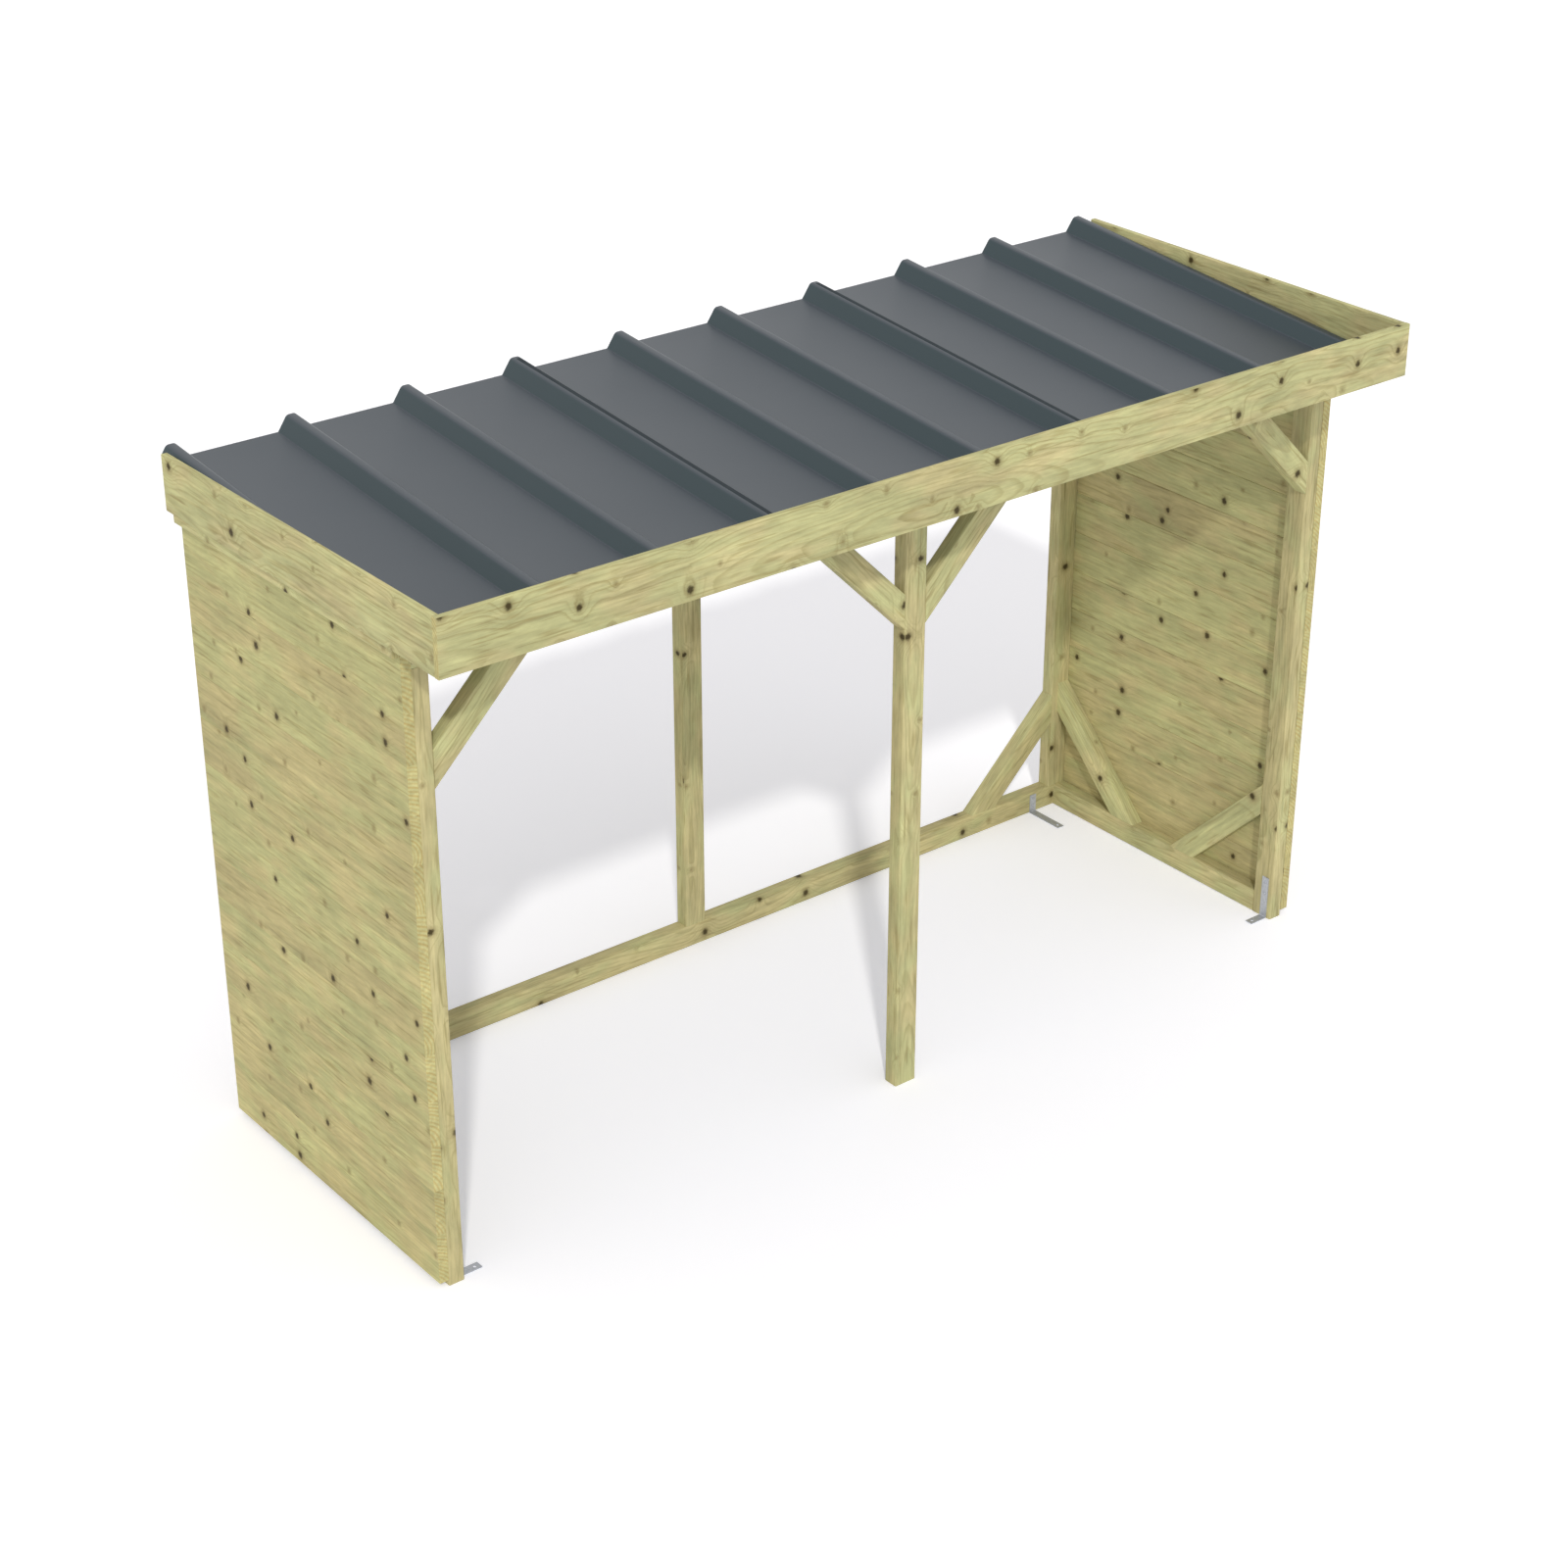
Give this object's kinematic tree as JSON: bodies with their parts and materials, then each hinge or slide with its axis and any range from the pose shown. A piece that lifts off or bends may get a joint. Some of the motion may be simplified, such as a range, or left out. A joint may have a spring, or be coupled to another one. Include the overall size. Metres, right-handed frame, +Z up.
{
  "type": "log store",
  "caption": "Open wood store with a braced pine post frame, boarded ends and a low box-profile steel roof set behind a fascia.",
  "frame": {"origin": "on the ground, in the middle of the overall length and depth", "axes": "+X along the length towards the right-hand end wall seen from the front, +Y towards the rear, +Z up"},
  "size_m": [3.09, 1.259, 1.9164],
  "materials": {
    "frame_pine": "pressure-treated pine, planed, pale green-yellow",
    "board_pine": "pressure-treated pine boards, planed, with small dark knots",
    "fascia_pine": "pressure-treated pine, planed, pale green-yellow",
    "roof_steel": "anthracite grey coated steel, semi-matt",
    "zinc": "galvanised steel"
  },
  "bodies": {
    "root": {"left_front_post": "frame_pine", "centre_front_post": "frame_pine", "right_front_post": "frame_pine", "left_rear_post": "frame_pine", "centre_rear_post": "frame_pine", "right_rear_post": "frame_pine", "left_sill": "frame_pine", "right_sill": "frame_pine", "rear_rail": "frame_pine", "front_beam": "frame_pine", "rear_beam": "frame_pine", "left_front_brace": "frame_pine", "centre_left_brace": "frame_pine", "centre_right_brace": "frame_pine", "right_front_brace": "frame_pine", "left_wall_front_brace": "frame_pine", "left_wall_rear_brace": "frame_pine", "right_wall_front_brace": "frame_pine", "right_wall_rear_brace": "frame_pine", "rear_left_brace": "frame_pine", "rear_right_brace": "frame_pine", "left_wall_boards": "board_pine", "right_wall_boards": "board_pine", "left_rafter": "frame_pine", "right_rafter": "frame_pine", "left_fascia": "fascia_pine", "front_fascia": "fascia_pine", "right_fascia": "fascia_pine", "left_roof_sheet": "roof_steel", "middle_roof_sheet": "roof_steel", "right_roof_sheet": "roof_steel", "left_front_bracket": "zinc", "right_front_bracket": "zinc", "left_rear_bracket": "zinc", "right_rear_bracket": "zinc"}
  },
  "joints": []
}
